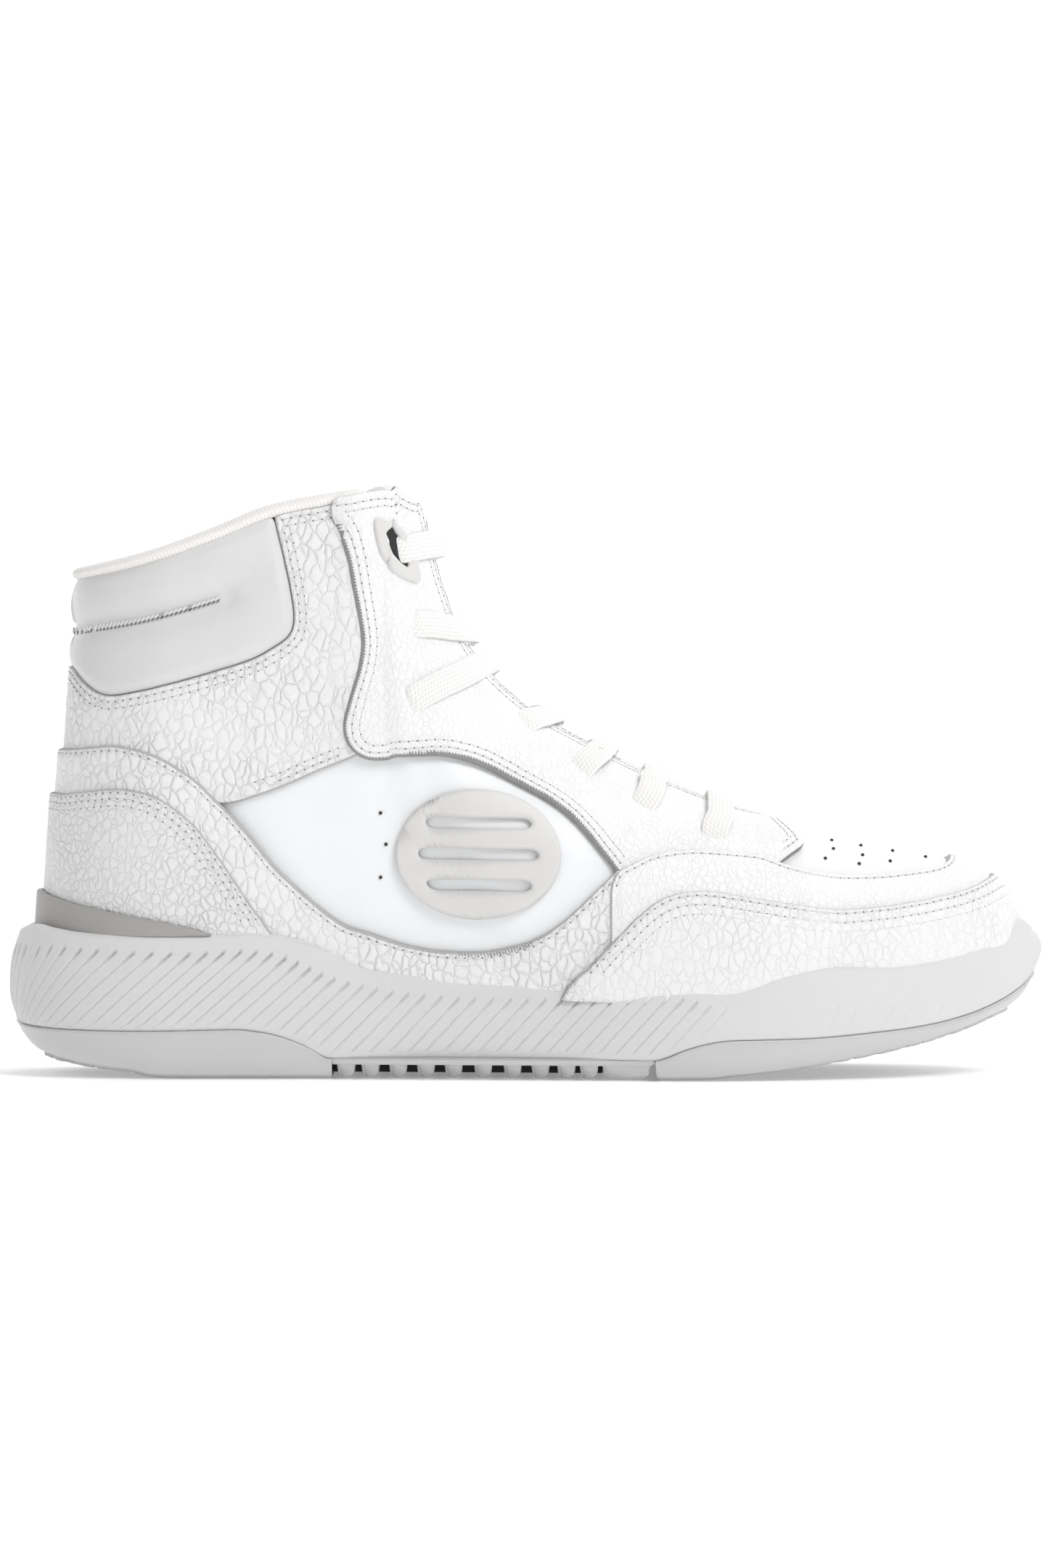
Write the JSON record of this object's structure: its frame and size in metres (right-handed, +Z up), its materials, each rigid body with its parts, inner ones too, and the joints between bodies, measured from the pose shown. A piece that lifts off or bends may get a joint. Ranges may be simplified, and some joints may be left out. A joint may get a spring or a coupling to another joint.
{
  "type": "basketball high top",
  "caption": "White leather lace-up high-top shoe for the right foot, with a padded collar, layered overlays and a grooved cupped sole.",
  "frame": {"origin": "middle of the shoe's box, on the ground it stands on", "axes": "+X from heel to toe, +Y to the inner (medial) side, +Z up"},
  "size_m": [0.3024, 0.108, 0.172],
  "materials": {
    "pebbled_leather": "tumbled white leather, pebbled grain, half matt",
    "smooth_leather": "smooth white leather, soft sheen",
    "pad_leather": "smooth pale grey-white padded leather, soft sheen",
    "knit": "ribbed cream-white knit",
    "lace": "flat woven cream-white lace",
    "lining_cloth": "brushed off-white lining cloth",
    "trim_plastic": "light grey moulded plastic",
    "clip_plastic": "warm grey moulded plastic",
    "shank_plastic": "grey stiff plastic",
    "stiffener_board": "pressed fibre board",
    "foam": "open-cell cushion foam",
    "midsole_foam": "fine-grained off-white moulded foam",
    "outsole_rubber": "smooth translucent white rubber"
  },
  "bodies": {
    "shoe": {"ankle_panel_lateral": "pebbled_leather", "ankle_panel_medial": "pebbled_leather", "collar_binding": "knit", "collar_foam": "foam", "collar_pad": "pad_leather", "eyestay": "pebbled_leather", "eyestay_reinforcement_lateral": "lining_cloth", "eyestay_reinforcement_medial": "lining_cloth", "heel_clip": "clip_plastic", "heel_counter_cover": "pebbled_leather", "heel_overlay": "pebbled_leather", "heel_stiffener": "stiffener_board", "lace_cage_lateral": "trim_plastic", "lace_cage_medial": "trim_plastic", "lace_row_1": "lace", "lace_row_2": "lace", "lace_row_3": "lace", "lace_row_4": "lace", "lace_row_5": "lace", "lace_row_6": "lace", "lace_row_7": "lace", "lasting_board": "stiffener_board", "lining_lateral": "lining_cloth", "lining_medial": "lining_cloth", "lining_vamp": "lining_cloth", "midsole": "midsole_foam", "midsole_core": "foam", "mudguard_inner": "pebbled_leather", "mudguard_outer": "pebbled_leather", "outsole_forefoot": "outsole_rubber", "outsole_heel": "outsole_rubber", "outsole_shank_tread": "outsole_rubber", "quarter_lateral": "smooth_leather", "quarter_medial": "smooth_leather", "shank_plate": "shank_plastic", "toe_box": "smooth_leather", "toe_stiffener": "stiffener_board", "vent_insert_lateral": "trim_plastic", "vent_insert_medial": "trim_plastic"},
    "tongue": {"tongue_face": "smooth_leather", "tongue_foam": "foam", "tongue_lining": "lining_cloth", "tongue_binding": "knit"},
    "insole": {"insole": "foam", "insole_top_cloth": "lining_cloth", "heel_cushion": "foam"}
  },
  "joints": [
    {"name": "tongue_swing", "type": "hinge", "parent": "shoe", "child": "tongue", "pos_m": [0.07, 0, 0.064], "axis": [0, 1, 0], "range_deg": [-9, 0]},
    {"name": "insole_lift", "type": "hinge", "parent": "shoe", "child": "insole", "pos_m": [0.13, 0, 0.03], "axis": [0, 1, 0], "range_deg": [0, 4]}
  ]
}
